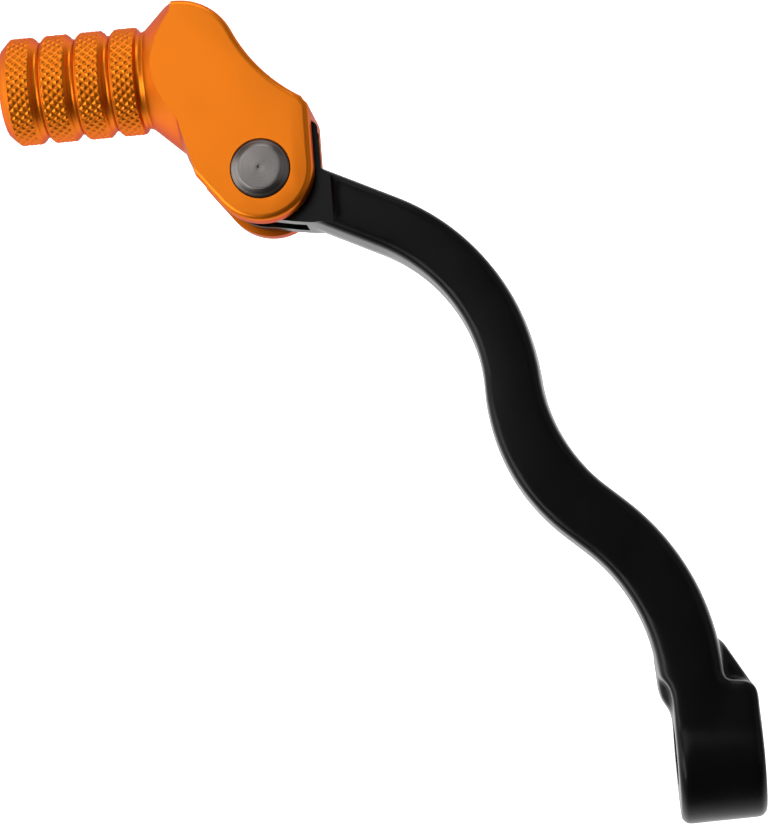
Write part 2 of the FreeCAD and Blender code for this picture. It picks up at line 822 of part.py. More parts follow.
def add_peg(body):
    """The peg's smooth rod with a chamfered end, and its raised bands."""
    rod = sketch_on(body, "peg_rod", "XY_Plane", right=size("peg_forward"))
    bands = size("peg_band_pitch") * (size("peg_band_count") - 1) + size("peg_band_width")
    last = size("peg_band_start") + bands
    inside = size("cone_start") - size("boss_rounding")
    chamfer = size("peg_end_chamfer")
    outer = size("peg_band_radius") - size("peg_band_chamfer")
    add_path(rod, [
        (ZERO, inside),
        (size("peg_neck_radius"), inside),
        (size("peg_neck_radius"), size("peg_band_start")),
        (size("peg_rod_radius"), size("peg_band_start") + size("peg_band_chamfer")),
        (size("peg_rod_radius"), last - size("peg_band_chamfer")),
        (outer, last),
        (outer - chamfer, last + chamfer),
        (ZERO, last + chamfer),
    ])
    turned(body, rod)
    band = sketch_on(body, "peg_band", "XY_Plane", right=size("peg_forward"))
    start = size("peg_band_start")
    end = start + size("peg_band_width")
    bevel = size("peg_band_chamfer")
    core = size("peg_rod_radius") / 2
    add_path(band, [
        (core, start),
        (size("peg_band_radius") - bevel, start),
        (size("peg_band_radius"), start + bevel),
        (size("peg_band_radius"), end - bevel),
        (size("peg_band_radius") - bevel, end),
        (core, end),
    ])
    first = turned(body, band)
    span = size("peg_band_pitch") * (size("peg_band_count") - 1)
    pattern(body, first, "LinearPattern", origin_part(body, "Y_Axis"),
            "Length", span, size("peg_band_count"))


def make_shift_tip():
    body = new_body("shift_tip")
    add_clevis(body)
    cut_cone(body)
    cut_gap(body)
    cut_pin_holes(body)
    add_peg(body)
    place(body, pin_x, pin_y, pin_z)
    return body


# ---- Build, check and write ------------------------------------------------------------

seal_lift = eye_half - size("seal_seat") + size("seal_wire") + size("fit_gap")
turned_over = Rotation(Vector(1, 0, 0), FULL_TURN / 2)

parts = [
    make_lever_arm(),
    make_bush("upper_bush", Rotation()),
    make_bush("lower_bush", turned_over),
    make_seal("upper_seal", pin_z + seal_lift),
    make_seal("lower_seal", pin_z - seal_lift),
    make_return_spring(),
    make_pivot_pin(),
    make_pin_screw(),
    make_clamp_bolt(),
    make_shift_tip(),
]
document.recompute()

for item in document.Objects:
    if {"Invalid", "Error"} & set(item.State):
        raise RuntimeError(f"{item.Name} did not build: {item.State}")
for item in document.Objects:
    base = getattr(item, "BaseFeature", None)
    if base is None or not item.isDerivedFrom("PartDesign::Feature"):
        continue
    change = item.Shape.Volume - base.Shape.Volume
    removes = item.TypeId.split("::")[1] in ("Pocket", "Groove", "Fillet")
    if abs(change) < TOUCHING or (removes and change > 0):
        raise RuntimeError(f"{item.Name} changes the volume by {change:.3f}")
for part in parts:
    if part.Shape.isNull() or not part.Shape.isValid():
        raise RuntimeError(f"{part.Label} has no valid shape")
    if len(part.Shape.Solids) != 1:
        raise RuntimeError(f"{part.Label} has {len(part.Shape.Solids)} solids")

os.makedirs("parts", exist_ok=True)
for part in parts:
    part.Shape.exportStep(f"parts/{part.Label}.step")
    print(part.Label, round(part.Shape.Volume / 1000, 2), "cm3")
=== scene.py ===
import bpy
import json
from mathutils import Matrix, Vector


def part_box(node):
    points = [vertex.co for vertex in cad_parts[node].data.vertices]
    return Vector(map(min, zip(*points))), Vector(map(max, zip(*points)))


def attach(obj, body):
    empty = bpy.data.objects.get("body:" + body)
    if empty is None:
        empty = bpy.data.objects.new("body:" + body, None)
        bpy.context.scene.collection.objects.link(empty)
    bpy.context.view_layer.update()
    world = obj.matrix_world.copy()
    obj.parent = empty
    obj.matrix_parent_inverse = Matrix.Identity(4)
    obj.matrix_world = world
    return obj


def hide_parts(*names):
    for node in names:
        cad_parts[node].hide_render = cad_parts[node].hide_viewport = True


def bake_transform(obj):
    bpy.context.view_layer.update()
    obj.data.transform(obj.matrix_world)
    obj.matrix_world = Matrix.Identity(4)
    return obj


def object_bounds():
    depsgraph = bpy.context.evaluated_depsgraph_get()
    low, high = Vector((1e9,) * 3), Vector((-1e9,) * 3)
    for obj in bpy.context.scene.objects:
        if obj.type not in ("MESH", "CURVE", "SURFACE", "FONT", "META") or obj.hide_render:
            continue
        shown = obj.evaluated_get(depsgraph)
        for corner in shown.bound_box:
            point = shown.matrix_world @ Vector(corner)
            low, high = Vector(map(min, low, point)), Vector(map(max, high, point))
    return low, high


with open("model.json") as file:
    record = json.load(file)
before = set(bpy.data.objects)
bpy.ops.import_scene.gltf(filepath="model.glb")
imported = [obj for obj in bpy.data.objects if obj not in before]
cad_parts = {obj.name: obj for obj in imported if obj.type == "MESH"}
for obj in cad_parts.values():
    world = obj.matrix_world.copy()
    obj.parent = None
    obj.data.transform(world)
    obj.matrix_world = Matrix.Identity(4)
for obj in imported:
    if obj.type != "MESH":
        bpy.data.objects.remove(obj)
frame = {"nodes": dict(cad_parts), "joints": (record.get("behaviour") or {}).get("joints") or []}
cad_box = [list(corner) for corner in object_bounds()]

import json
import math

import bmesh
import bpy
import numpy as np
from mathutils import Euler, Matrix, Quaternion, Vector

# ---- Lever arm ---------------------------------------------------------------------------
# The bent arm, its clamp boss and the fork for the fold pin are one aluminium forging.
# It is drop forged with drafted sides, fettled, then the bore, slit and fork are machined
# and the whole piece is anodised black. It stays still; the gearbox shaft holds its boss.

MM = 0.001
pin_place = Vector(frame["joints"][0]["pos_m"]) / MM

arm_start_outboard = 4.4
# The centreline's straights, as (length, 0), and bends, as (radius, turn in degrees)
arm_stretches = [
    (14.5, 0), (42.7, 48.2), (4.9, 0), (36.8, -45.9), (0.5, 0), (39.6, 61.6), (26.8, 0)]
arm_width = (13.3, 11.4)
arm_height = (13.2, 16.0)
arm_middle = (6.2, 11.4)
arm_corner = 1.5
arm_crown = 0.4
forging_draft = 0.5
# The arm narrows between these shares of its length
narrowing = (0.40, 0.62)
station_spacing = 1.5

boss_radius = 13.4
boss_half_width = 8.5
boss_draft = 0.45
bore_radius = 6.0
serration_depth = 0.65
serration_count = 31
serration_flank = 0.31
slit_bottom = -2.6
slit_top = -0.6

eye_radius = 9.2
eye_half = 6.7
eye_step = 13.35
lug_side = 11.6
lug_draft = 1.9
lug_front = 9.85
cheek_half = 7.6
slot_half = 3.3
slot_front = 7.5
slot_back = 7.6
bush_radius = 5.0


def mesh_piece(name, points, faces):
    """A new object from points in millimetres."""
    mesh = bpy.data.meshes.new(name)
    mesh.from_pydata((np.asarray(points, float) * MM).tolist(), [], faces)
    mesh.update()
    piece = bpy.data.objects.new(name, mesh)
    bpy.context.scene.collection.objects.link(piece)
    return piece


def rings_piece(name, rings, capped=True):
    """Joins rings of points, one after the other, into a skin that its end rings close."""
    count = len(rings[0])
    points = np.concatenate(rings)
    faces = []
    for row in range(len(rings) - 1):
        for step in range(count):
            after = (step + 1) % count
            near = row * count
            faces.append((near + step, near + after, near + count + after, near + count + step))
    if capped:
        faces.append(tuple(range(count - 1, -1, -1)))
        faces.append(tuple(range((len(rings) - 1) * count, len(rings) * count)))
    piece = mesh_piece(name, points, faces)
    shape = bmesh.new()
    shape.from_mesh(piece.data)
    bmesh.ops.remove_doubles(shape, verts=shape.verts, dist=0.001 * MM)
    bmesh.ops.recalc_face_normals(shape, faces=shape.faces)
    shape.to_mesh(piece.data)
    shape.free()
    return piece


def prism(name, outline, low, high, centre=(0, 0, 0)):
    """An upright block with a flat outline."""
    flat = np.array([(x, y, 0) for x, y in outline], float) + np.array(centre, float)
    return rings_piece(name, [flat + (0, 0, low), flat + (0, 0, high)])


def lathe(name, profile, segments=128, centre=(0, 0, 0), along_y=False):
    """Turns a profile of (radius, height) about an upright axis, or about one along Y."""
    least_radius = 0.0001
    angles = np.linspace(0, 2 * math.pi, segments, endpoint=False)
    rings = []
    for radius, height in profile:
        radius = max(radius, least_radius)
        across = np.stack([radius * np.cos(angles), radius * np.sin(angles)], 1)
        level = np.full(segments, height)
        if along_y:
            ring = np.stack([across[:, 0], level, across[:, 1]], 1)
        else:
            ring = np.stack([across[:, 0], across[:, 1], level], 1)
        rings.append(ring + np.array(centre, float))
    return rings_piece(name, rings)


def settle(piece):
    """Makes the piece's modifiers part of its mesh."""
    bpy.context.view_layer.update()
    shown = piece.evaluated_get(bpy.context.evaluated_depsgraph_get())
    mesh = bpy.data.meshes.new_from_object(shown)
    piece.modifiers.clear()
    old = piece.data
    piece.data = mesh
    bpy.data.meshes.remove(old)
    return piece


def combine(piece, tool, operation="DIFFERENCE"):
    """Cuts, joins or trims the piece by the tool, which is used up."""
    change = piece.modifiers.new("combine", "BOOLEAN")
    change.object = tool
    change.operation = operation
    change.solver = "MANIFOLD"
    settle(piece)
    bpy.data.objects.remove(tool)
    return piece


def finish_edges(piece, sharp=32):
    """Smooth shading that stays crisp at edges sharper than this angle."""
    piece.data.shade_smooth()
    piece.data.set_sharp_from_angle(angle=math.radians(sharp))
    return piece


def arm_stations(spacing):
    """Places along the arm's centreline as (x, y, heading, share of its length)."""
    x, y, heading, run = 0.0, arm_start_outboard, 0.0, 0.0
    found = [(x, y, heading, run)]
    for size, turn in arm_stretches:
        length = size * abs(math.radians(turn)) if turn else size
        steps = max(1, round(length / spacing))
        for _ in range(steps):
            bend = math.radians(turn) / steps
            chord = 2 * size * math.sin(abs(bend) / 2) if turn else length / steps
            x += chord * math.cos(heading + bend / 2)
            y += chord * math.sin(heading + bend / 2)
            heading += bend
            run += length / steps
            found.append((x, y, heading, run))
    return [(x, y, heading, at / run) for x, y, heading, at in found]


def ease(value, low, high):
    """Goes smoothly from 0 to 1 as the value goes from low to high."""
    share = min(1.0, max(0.0, (value - low) / (high - low)))
    return share * share * (3 - 2 * share)


def beam_ring(x, y, heading, share):
    """The forging's section: crowned top and bottom, rounded corners and drafted sides."""
    width = arm_width[0] + (arm_width[1] - arm_width[0]) * ease(share, *narrowing)
    height = arm_height[0] + (arm_height[1] - arm_height[0]) * share
    middle = arm_middle[0] + (arm_middle[1] - arm_middle[0]) * share
    ring = []
    for corner, (right, up) in enumerate([(1, 1), (-1, 1), (-1, -1), (1, -1)]):
        for step in range(7):
            angle = math.radians(90 * corner + 15 * step)
            across = right * (width / 2 - arm_corner) + arm_corner * math.cos(angle)
            level = up * (height / 2 - arm_corner) + arm_corner * math.sin(angle)
            across -= math.copysign(forging_draft * abs(level) / (height / 2), across)
            ring.append((across, level))
        if corner in (0, 2):
            for part in (0.75, 0.5, 0.25, 0, -0.25, -0.5, -0.75):
                ring.append((right * part * (width / 2 - arm_corner), up * height / 2))
        else:
            ring.append((right * width / 2, 0))
    return np.array([
        (x + across * math.sin(heading), y - across * math.cos(heading),
         middle + level - arm_crown * (2 * across / width) ** 2 * 2 * level / height)
        for across, level in ring])


arm = rings_piece("arm_forging", [beam_ring(*station) for station in arm_stations(station_spacing)])
shoulder = prism("shoulder", [
    (-16, boss_half_width), (10.8, boss_half_width), (13.2, 8.9), (14.5, 9.5), (15.3, 10.5),
    (16.2, 11.2), (19, 11.6), (19, 20), (-16, 20)], -20, 30)
combine(arm, shoulder)
barrel = lathe("barrel", [
    (0, -boss_half_width), (boss_radius - 1.1, -boss_half_width),
    (boss_radius, 1.1 - boss_half_width), (boss_radius + boss_draft, boss_half_width - 1.1),
    (boss_radius + boss_draft - 1.1, boss_half_width), (0, boss_half_width)], along_y=True)
combine(arm, barrel, "UNION")
boss_top = prism("boss top", [
    (-1, -8.3), (11.6, -8.3), (13.1, -7.6), (13.9, -6.2), (14.6, 0), (-1, 0)], 0, 12.9)
combine(arm, boss_top, "UNION")
jaw = prism("jaw", [
    (0, -8.4), (12.2, -8.4), (13.3, -7.6), (17.8, -5.0), (22.3, -2.4), (22.4, 11.2),
    (19.2, 11.2), (16.1, 11.0), (13.1, 10.9), (11.1, 10.4), (10.0, 9.7), (8.8, 8.9),
    (6.9, 8.5), (0, 8.4)], -9.45, 4.6)
combine(arm, jaw, "UNION")
eye = lathe("eye", [(0, -7.8), (8.4, -7.8), (eye_radius, -7.0), (eye_radius, 7.0),
                    (8.4, 7.8), (0, 7.8)], centre=pin_place)
combine(arm, eye, "UNION")
lug = []
for level, draft in ((-cheek_half, lug_draft), (cheek_half, 0)):
    side = -lug_side + draft
    lug.append(np.array([(-4, side, level), (lug_front - 1.0, side, level),
                         (lug_front, side + 1.0, level), (lug_front, -5.0, level), (5, 0, level),
                         (-4, 0, level)]) + np.array(pin_place))
combine(arm, rings_piece("lug", lug), "UNION")
cheeks = prism("cheeks", [(2, 0), (-eye_radius, 0), (-10.3, -5.5), (-10.9, -9.5), (-9.5, -14),
                          (-3, -14), (2, -9)], -cheek_half, cheek_half, centre=pin_place)
combine(arm, cheeks, "UNION")

# Hammered in a die, every inside and outside corner is soft, most of all near the boss
skin_step = 0.42
corner_passes = 10
fillet_passes = 40
fillet_middle = 15
fillet_reach = (11, 20)
skin = arm.modifiers.new("forged skin", "REMESH")
skin.mode = "VOXEL"
skin.voxel_size = skin_step * MM
skin.use_smooth_shade = True
settle(arm)
near_boss = arm.vertex_groups.new(name="near boss")
for vertex in arm.data.vertices:
    away = math.hypot(vertex.co.x / MM - fillet_middle, vertex.co.y / MM)
    near_boss.add([vertex.index], 1 - ease(away, *fillet_reach), "REPLACE")
relax = arm.modifiers.new("soft corners", "SMOOTH")
relax.factor = 0.5
relax.iterations = corner_passes
blend = arm.modifiers.new("forged fillets", "SMOOTH")
blend.factor = 0.5
blend.iterations = fillet_passes
blend.vertex_group = "near boss"
settle(arm)
arm.vertex_groups.clear()

# Then the machined faces, sharp-edged; the arm swells up again from the edge of each facing
facing_swell = ((0, 0), (0.4, 0.4), (0.9, 0.78), (1.5, 1.05), (2.2, 1.22), (3.2, 1.3))
for side in (1, -1):
    facing = []
    for run, rise in facing_swell:
        edge = -eye_step - run
        level = side * (eye_half + rise)
        facing.append([(-26, edge, level), (26, edge, level), (26, 26, level), (-26, 26, level)])
    facing.append([(x, y, side * 20) for x, y, level in facing[-1]])
    facing = [np.array(ring) + np.array(pin_place) for ring in facing]
    combine(arm, rings_piece("facing", facing))
fork = [(-24, -slot_back), (slot_front, -slot_back), (slot_front, 24), (-24, 24)]
combine(arm, prism("fork slot", fork, -slot_half, slot_half, centre=pin_place))
combine(arm, lathe("bush bore", [(0, -9), (bush_radius, -9), (bush_radius, 9), (0, 9)],
                   centre=pin_place))
broach = []
for tooth in range(serration_count):
    for part, radius in ((-serration_flank, bore_radius), (0, bore_radius + serration_depth),
                         (serration_flank, bore_radius)):
        angle = 2 * math.pi * (tooth + part) / serration_count
        broach.append((radius * math.cos(angle), 0, radius * math.sin(angle)))
broach = np.array(broach)
combine(arm, rings_piece("broach", [broach + (0, -12, 0), broach + (0, 12, 0)]))
combine(arm, prism("slit", [(2, -12), (26, -12), (26, 14), (2, 14)], slit_bottom, slit_top))
bolt_axis = (16.2, 3.0, 0)
clearance_radius = 3.3
tapped_radius = 3.0
slit_middle = -1.6
combine(arm, lathe("bolt clearance", [
    (0, -14), (clearance_radius, -14), (clearance_radius, slit_middle), (0, slit_middle)],
    segments=48, centre=bolt_axis))
combine(arm, lathe("bolt thread", [
    (0, slit_middle), (tapped_radius, slit_middle), (tapped_radius, 8), (0, 9)],
    segments=48, centre=bolt_axis))
finish_edges(arm)


def linear(code):
    """A colour from its sRGB hex code."""
    parts = [int(code[at:at + 2], 16) / 255 for at in (1, 3, 5)]
    return [part / 12.92 if part <= 0.04045 else ((part + 0.055) / 1.055) ** 2.4
            for part in parts] + [1.0]


def add_node(material, kind, links=None, **settings):
    """Adds a node with its settings; links maps its inputs to other nodes' outputs."""
    node = material.node_tree.nodes.new(f"ShaderNode{kind}")
    for name, value in settings.items():
        if name in node.inputs:
            node.inputs[name].default_value = value
        elif name.replace("_", " ") in node.inputs:
            node.inputs[name.replace("_", " ")].default_value = value
        else:
            setattr(node, name, value)
    for name, output in (links or {}).items():
        material.node_tree.links.new(output, node.inputs[name])
    return node


def new_material(name):
    """An empty material with its output node ready."""
    material = bpy.data.materials.new(name)
    material.use_nodes = True
    material.node_tree.nodes.clear()
    return material


def close_material(material, shader):
    """Shows the shader on the material's surface."""
    output = add_node(material, "OutputMaterial")
    material.node_tree.links.new(shader.outputs[0], output.inputs["Surface"])
    return material


# Anodised black over a shot-blasted forging: near black, with a wide satin sheen, a fine
# blasted grain, drawn at 0.35 mm, and a faint unevenness where the die left its skin.
black_anodised = new_material("black anodised forging")
spot = add_node(black_anodised, "TexCoord").outputs["Object"]
grain = add_node(black_anodised, "TexNoise", {"Vector": spot}, Scale=1 / (0.35 * MM), Detail=3.0)
skin_wave = add_node(black_anodised, "TexNoise", {"Vector": spot}, Scale=1 / (9 * MM), Detail=4.0)
gloss = add_node(black_anodised, "MapRange", {"Value": skin_wave.outputs["Fac"]},
                 From_Min=0.3, From_Max=0.7, To_Min=0.28, To_Max=0.35)
tone = add_node(black_anodised, "MixRGB", {"Fac": skin_wave.outputs["Fac"]},
                Color1=linear("#050405"), Color2=linear("#08070A"))
relief = add_node(black_anodised, "Bump", {"Height": grain.outputs["Fac"]},
                  Strength=0.25, Distance=0.02 * MM)
shader = add_node(black_anodised, "BsdfPrincipled", {
    "Base Color": tone.outputs["Color"], "Roughness": gloss.outputs["Result"],
    "Normal": relief.outputs["Normal"]}, IOR=1.5, Specular_IOR_Level=0.16)
close_material(black_anodised, shader)
arm.data.materials.clear()
arm.data.materials.append(black_anodised)
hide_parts("lever_arm")
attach(arm, "arm")

# ---- Bushes and seals --------------------------------------------------------------------
# Two flanged bushes of sintered bronze line the fork's bore, pressed in from above and below.
# A black rubber ring round each flange keeps the dirt out.

# Bronze powder pressed and sintered: a dull brown metal, mottled by its oil-filled pores.
# The pores are under 0.05 mm across, drawn at 0.3 mm so that they show.
bronze = new_material("sintered bronze")
spot = add_node(bronze, "TexCoord").outputs["Object"]
pores = add_node(bronze, "TexNoise", {"Vector": spot}, Scale=1 / (0.3 * MM), Detail=5.0)
tone = add_node(bronze, "MixRGB", {"Fac": pores.outputs["Fac"]},
                Color1=linear("#7A5230"), Color2=linear("#B98A55"))
relief = add_node(bronze, "Bump", {"Height": pores.outputs["Fac"]},
                  Strength=0.3, Distance=0.02 * MM)
shader = add_node(bronze, "BsdfPrincipled", {
    "Base Color": tone.outputs["Color"], "Normal": relief.outputs["Normal"]},
    Metallic=1.0, Roughness=0.42)
close_material(bronze, shader)

# Moulded nitrile: nearly black and matt, with a faint grey bloom.
rubber = new_material("black nitrile rubber")
spot = add_node(rubber, "TexCoord").outputs["Object"]
bloom = add_node(rubber, "TexNoise", {"Vector": spot}, Scale=1 / (1.5 * MM), Detail=4.0)
tone = add_node(rubber, "MixRGB", {"Fac": bloom.outputs["Fac"]},
                Color1=linear("#141414"), Color2=linear("#232323"))
shader = add_node(rubber, "BsdfPrincipled", {"Base Color": tone.outputs["Color"]},
                  Roughness=0.7, IOR=1.52)
close_material(rubber, shader)


def refinish(node, material):
    """Gives a piece that keeps its machined shape its real finish."""
    piece = frame["nodes"][node]
    for place in piece.material_slots:
        place.material = material


for node in ("upper_bush", "lower_bush"):
    refinish(node, bronze)
for node in ("upper_seal", "lower_seal"):
    refinish(node, rubber)

# ---- Return spring -----------------------------------------------------------------------
# A torsion spring of bright carbon steel wire, wound cold. One leg sits in the arm, the
# other in the tip, so its coils wind up when the tip folds.

wire_radius = 0.8
coil_radius = 6.2
coil_turns = 2.25
coil_pitch = 1.85
web_radius = 15.8
leg_in_hole = 3.4


def spring_line():
    """Points along the wire: the arm's leg, the coils and the tip's leg."""
    low = -coil_pitch * coil_turns / 2
    points = []
    arm_leg = slot_back + leg_in_hole
    for share in np.linspace(0, 1, 20, endpoint=False):
        points.append((-coil_radius, -arm_leg * (1 - share), low))
    steps = int(coil_turns * 72)
    for step in range(steps + 1):
        angle = math.pi - 2 * math.pi * coil_turns * step / steps
        rise = low + coil_pitch * coil_turns * step / steps
        points.append((coil_radius * math.cos(angle), coil_radius * math.sin(angle), rise))
    reach = math.sqrt(web_radius ** 2 - coil_radius ** 2) + leg_in_hole
    for share in np.linspace(0, 1, 20)[1:]:
        points.append((reach * share, coil_radius, -low))
    return np.array(points)


def tube(name, line, radius, segments=14):
    """A round wire along a line of points."""
    ahead = np.gradient(line, axis=0)
    ahead /= np.linalg.norm(ahead, axis=1)[:, None]
    side = np.cross(ahead, (0, 0, 1))
    side /= np.linalg.norm(side, axis=1)[:, None]
    over = np.cross(side, ahead)
    angles = np.linspace(0, 2 * math.pi, segments, endpoint=False)
    rings = [line[at] + radius * (np.outer(np.cos(angles), side[at])
                                  + np.outer(np.sin(angles), over[at]))
             for at in range(len(line))]
    return rings_piece(name, rings)


# Hard drawn wire: a bright grey metal whose polish varies where the die and coiling rubbed it.
spring_steel = new_material("drawn spring steel wire")
spot = add_node(spring_steel, "TexCoord").outputs["Object"]
drawn = add_node(spring_steel, "TexNoise", {"Vector": spot}, Scale=1 / (0.5 * MM), Detail=3.0)
gloss = add_node(spring_steel, "MapRange", {"Value": drawn.outputs["Fac"]},
                 To_Min=0.22, To_Max=0.38)
tone = add_node(spring_steel, "MixRGB", {"Fac": drawn.outputs["Fac"]},
                Color1=linear("#6E6D6C"), Color2=linear("#8F8E8C"))
shader = add_node(spring_steel, "BsdfPrincipled", {
    "Base Color": tone.outputs["Color"], "Roughness": gloss.outputs["Result"]}, Metallic=1.0)
close_material(spring_steel, shader)

spring = tube("return_spring_wire", spring_line() + np.array(pin_place), wire_radius)
finish_edges(spring)
spring.data.materials.append(spring_steel)
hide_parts("return_spring")
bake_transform(spring)

# ---- Shift tip ---------------------------------------------------------------------------
# The clevis and the peg are turned and milled from one bar of aluminium. The peg's bands are
# knurled for the boot, the block is milled flat, its rim rounded and the gap for the arm cut
# out; then it is glass-bead blasted and anodised orange.

clevis_half = 11.97
gap_half = 7.5
clevis_rim = 1.25
clevis_round = 10.4
side_angle = 37.5
side_reach = 3.0
waist_corner = 13.3
waist_radius = 33.0
shoulder_radius = 12.0
shoulder_middle = 14.9
clevis_front = 35.85
peg_forward = 22.74
peg_neck = 10.27
cone_start = 22.4
cone_angle = 43.2
flare_radius = 16.2
flare_angle = 71.0
stop_depth = 3.4
stop_gap = 0.05

band_start = 24.1
band_width = 5.0
band_pitch = 7.15
band_count = 4
band_radius = 10.97
groove_radius = 9.75
groove_rise = 0.75
band_chamfer = 0.45
end_chamfer = 1.7
knurl_around = 38
knurl_length = 1.8605
knurl_depth = 0.19
# From flat top to groove floor, as shares of a cell measured from its middle
pyramid_slope = (0.1, 0.4)
knurl_steps = 20


def arc_points(centre, radius, begin, end, step=3):
    """Points on an arc from one angle to another, in degrees."""
    count = max(2, int(abs(end - begin) / step) + 1)
    return [(centre[0] + radius * math.cos(math.radians(a)),
             centre[1] + radius * math.sin(math.radians(a)))
            for a in np.linspace(begin, end, count)]


def clevis_outline():
    """The plates' outline about the pin: round, straight sides, hollow waist and shoulder."""
    corner_y = -clevis_round
    shoulder = (clevis_front - shoulder_radius, shoulder_middle)
    corner = (waist_corner, corner_y)
    across = (shoulder[0] - corner[0], shoulder[1] - corner[1])
    apart = math.hypot(*across)
    far = waist_radius + shoulder_radius
    along = (waist_radius ** 2 - far ** 2 + apart ** 2) / (2 * apart)
    off = math.sqrt(waist_radius ** 2 - along ** 2)
    waist = (corner[0] + (across[0] * along + across[1] * off) / apart,
             corner[1] + (across[1] * along - across[0] * off) / apart)
    to_corner = math.degrees(math.atan2(corner[1] - waist[1], corner[0] - waist[0]))
    to_shoulder = math.degrees(math.atan2(shoulder[1] - waist[1], shoulder[0] - waist[0]))
    touch = math.radians(90 + side_angle)
    side_y = (clevis_round * math.sin(touch)
              + (side_reach - clevis_round * math.cos(touch)) * math.tan(math.radians(side_angle)))
    points = arc_points((0, 0), clevis_round, 90 + side_angle, 270)
    points += [(waist_corner - 1.6, corner_y), (waist_corner - 0.75, corner_y + 0.22),
               (waist_corner - 0.1, corner_y + 0.8)]
    points += arc_points(waist, waist_radius, to_corner - 2.6, to_shoulder)
    points += arc_points(shoulder, shoulder_radius, to_shoulder - 180, 0)[1:]
    points += [(clevis_front, band_start), (side_reach, band_start), (side_reach, side_y)]
    return points


def inset(outline, amount):
    """The outline moved inwards, each corner along the middle of its two sides."""
    points = np.array(outline)
    before = points - np.roll(points, 1, axis=0)
    after = np.roll(points, -1, axis=0) - points
    before /= np.linalg.norm(before, axis=1)[:, None]
    after /= np.linalg.norm(after, axis=1)[:, None]
    left_before = np.stack([-before[:, 1], before[:, 0]], 1)
    left_after = np.stack([-after[:, 1], after[:, 0]], 1)
    middle = left_before + left_after
    return points + amount * middle / (1 + (left_before * left_after).sum(1))[:, None]


def rounded_block(name, outline, half, rim, centre):
    """A plate with its outline's upper and lower edges rounded."""
    rings = []
    for side, angles in ((1, range(90, -1, -15)), (-1, range(0, -91, -15))):
        for angle in angles:
            turn = math.radians(angle)
            flat = inset(outline, rim * (1 - math.cos(turn)))
            level = side * (half - rim) + rim * math.sin(turn)
            ring = np.column_stack([flat, np.full(len(flat), level)])
            rings.append(ring + np.array(centre))
    return rings_piece(name, rings)


peg_centre = (pin_place.x + peg_forward, pin_place.y, pin_place.z)
tip = rounded_block("tip_clevis", clevis_outline(), clevis_half, clevis_rim, pin_place)
blank_reach = 45.0
flare_y = cone_start - (flare_radius - peg_neck) / math.tan(math.radians(cone_angle))
far_y = flare_y - (blank_reach - flare_radius) / math.tan(math.radians(flare_angle))
turned_blank = lathe("turned blank", [
    (0, -blank_reach), (blank_reach, -blank_reach), (blank_reach, far_y),
    (flare_radius + 0.5, flare_y - 0.25), (flare_radius - 0.1, flare_y + 0.03),
    (flare_radius - 0.5, flare_y + 0.47), (peg_neck, cone_start), (0, cone_start)],
    segments=256, centre=peg_centre, along_y=True)
combine(tip, turned_blank, "INTERSECT")
stop_x = lug_front + stop_gap
stop_y = -clevis_round + stop_depth
stop_turn = math.degrees(math.asin(stop_y / web_radius))
gap_outline = [(stop_x, stop_y)] + arc_points((0, 0), web_radius, stop_turn, 180, step=4)
gap_outline += [(-web_radius, -web_radius), (stop_x, -web_radius)]
combine(tip, prism("arm gap", gap_outline, -gap_half, gap_half, centre=pin_place))
pin_hole = 4.02
head_hole = 5.99
head_floor = 9.8
head_mouth = 6.13
combine(tip, lathe("head seat", [
    (0, -3), (pin_hole, -3), (pin_hole, head_floor), (head_hole, head_floor), (head_hole, 11.8),
    (head_mouth, 12.1), (head_mouth, 16), (0, 16)], centre=pin_place))
screw_hole = 2.52
sink_radius = 4.82
combine(tip, lathe("screw seat", [
    (0, -16), (5.1, -16), (5.1, -12.2), (sink_radius, -11.98), (screw_hole, -9.68),
    (screw_hole, -3), (0, -3)], centre=pin_place))
leg_radius = 0.95
leg_depth = web_radius + 3
leg_hole = lathe("leg hole", [(0, 0), (leg_radius, 0), (leg_radius, leg_depth), (0, leg_depth)],
                 segments=24)
leg_hole.data.transform(Matrix.Rotation(math.radians(90), 4, "Y"))
leg_hole.data.transform(Matrix.Translation(
    (pin_place + Vector((0, coil_radius, coil_pitch * coil_turns / 2))) * MM))
combine(tip, leg_hole)


def peg_rows():
    """The peg's profile as rows of (height, radius, knurled), from the neck to the end."""
    rows = [(cone_start - 2.5, peg_neck - 1.5, 0), (cone_start - 0.3, peg_neck - 0.05, 0)]
    rows += [(cone_start + 0.25, peg_neck - 0.12, 0), (cone_start + 0.6, peg_neck - 0.3, 0)]
    for share in np.linspace(0, 1, 7):
        at = cone_start + 0.6 + share * (band_start - 0.12 - cone_start - 0.6)
        rows.append((at, peg_neck - 0.3 - 0.12 * math.sin(math.pi * share), 0))
    for band in range(band_count):
        begin = band_start + band * band_pitch
        end = begin + band_width
        for height in np.linspace(begin, end, round(band_width * knurl_steps / knurl_length) + 1):
            edge = min(height - begin, end - height)
            ceiling = band_radius - max(0.0, band_chamfer - edge)
            rows.append((height, ceiling, 1))
        if band == band_count - 1:
            continue
        for share in np.linspace(0, 1, 13):
            at = end + 0.1 + share * (band_pitch - band_width - 0.2)
            wall = (2 * share - 1) ** 2
            rows.append((at, groove_radius + groove_rise * wall, 0))
    outer = band_radius - band_chamfer
    end = band_start + (band_count - 1) * band_pitch + band_width
    rows += [(end + 0.03, outer - 0.05, 0), (end + 0.2, outer - 0.12, 0)]
    rows += [(end + 0.2 + (end_chamfer - 0.35) * share,
              outer - 0.12 - (end_chamfer - 0.35) * share, 0) for share in (0.25, 0.5, 0.75, 1)]
    rows += [(end + end_chamfer - 0.04, outer - end_chamfer - 0.05, 0),
             (end + end_chamfer, outer - end_chamfer - 0.35, 0)]
    rows += [(end + end_chamfer, radius, 0) for radius in (6.5, 4.5, 2.5, 0.9, 0.001)]
    return rows


